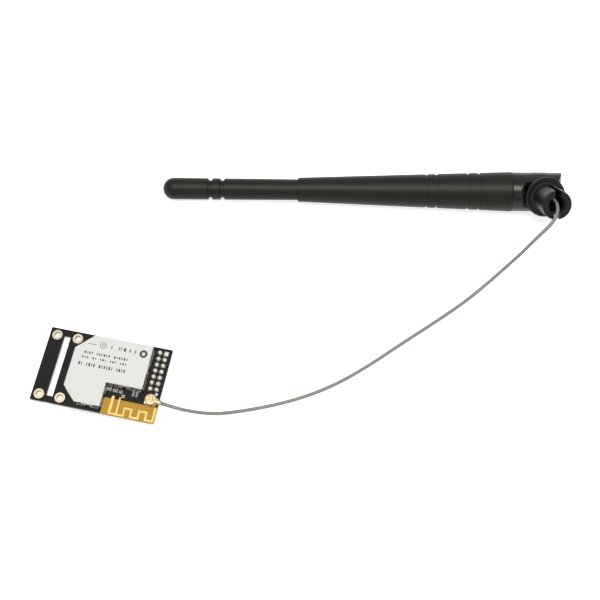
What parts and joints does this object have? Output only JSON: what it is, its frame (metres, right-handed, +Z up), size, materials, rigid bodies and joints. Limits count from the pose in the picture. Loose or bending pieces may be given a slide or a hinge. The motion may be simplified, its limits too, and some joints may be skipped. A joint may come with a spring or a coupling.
{
  "type": "serial to wireless network module with external antenna",
  "caption": "Flat circuit module with a screened radio section, pin header and printed antenna, joined by a thin coaxial cable to a folding snap-in whip antenna.",
  "frame": {"origin": "under the middle of the pin header, level with the pins' tips", "axes": "+X along the board's long side towards the header's end, +Y across the board away from the printed antenna, +Z up out of the board's component face"},
  "size_m": [0.1521, 0.1108, 0.0249],
  "materials": {
    "board_laminate": "glass-fibre laminate under black solder mask",
    "gold_plated_pads": "immersion gold over copper",
    "gold_plated_trace": "immersion gold over copper",
    "header_nylon": "moulded black nylon",
    "header_pin_metal": "gold-flashed square brass",
    "solder": "bright tin solder",
    "shield_steel": "tin-plated sheet",
    "label_paper": "matt white label film",
    "chip_epoxy": "moulded black epoxy",
    "crystal_can": "nickel-plated can",
    "ferrite": "ground ferrite",
    "capacitor_ceramic": "fired ceramic",
    "receptacle_resin": "moulded white resin",
    "gold_plated_brass": "gold plate",
    "gold_plated_bronze": "gold plate",
    "plug_resin": "moulded white resin",
    "cable_jacket": "grey fluoropolymer jacket",
    "bare_copper": "drawn copper",
    "drawn_brass": "drawn tube",
    "sleeve_rubber": "moulded matt black thermoplastic rubber",
    "fork_abs": "moulded black ABS",
    "knuckle_acetal": "moulded black acetal"
  },
  "bodies": {
    "module_and_whip": {"circuit_board": "board_laminate", "copper_pads": "gold_plated_pads", "printed_antenna": "gold_plated_trace", "header_housing": "header_nylon", "header_pins": "header_pin_metal", "header_solder": "solder", "shield_frame": "shield_steel", "frame_solder": "solder", "shield_lid": "shield_steel", "shield_label": "label_paper", "radio_chip": "chip_epoxy", "memory_chip": "chip_epoxy", "crystal": "crystal_can", "power_inductor": "ferrite", "bypass_capacitors": "capacitor_ceramic", "receptacle_base": "receptacle_resin", "receptacle_tabs": "solder", "receptacle_ring": "gold_plated_brass", "receptacle_contact": "gold_plated_brass", "plug_shell": "gold_plated_bronze", "plug_insert": "plug_resin", "plug_spring": "gold_plated_bronze", "antenna_cable": "cable_jacket", "feed_cable": "cable_jacket", "radiator_wire": "bare_copper", "choke_tube": "drawn_brass", "whip_sleeve": "sleeve_rubber", "hinge_fork": "fork_abs"},
    "snap_in_foot": {"hinge_knuckle": "knuckle_acetal"}
  },
  "joints": [
    {"name": "foot_fold", "type": "hinge", "parent": "module_and_whip", "child": "snap_in_foot", "pos_m": [0.1066, 0.0868, 0.00674], "axis": [-0.1509, 0.7338, 0.6624], "range_deg": [-8, 82], "deforming": ["antenna_cable"]}
  ]
}
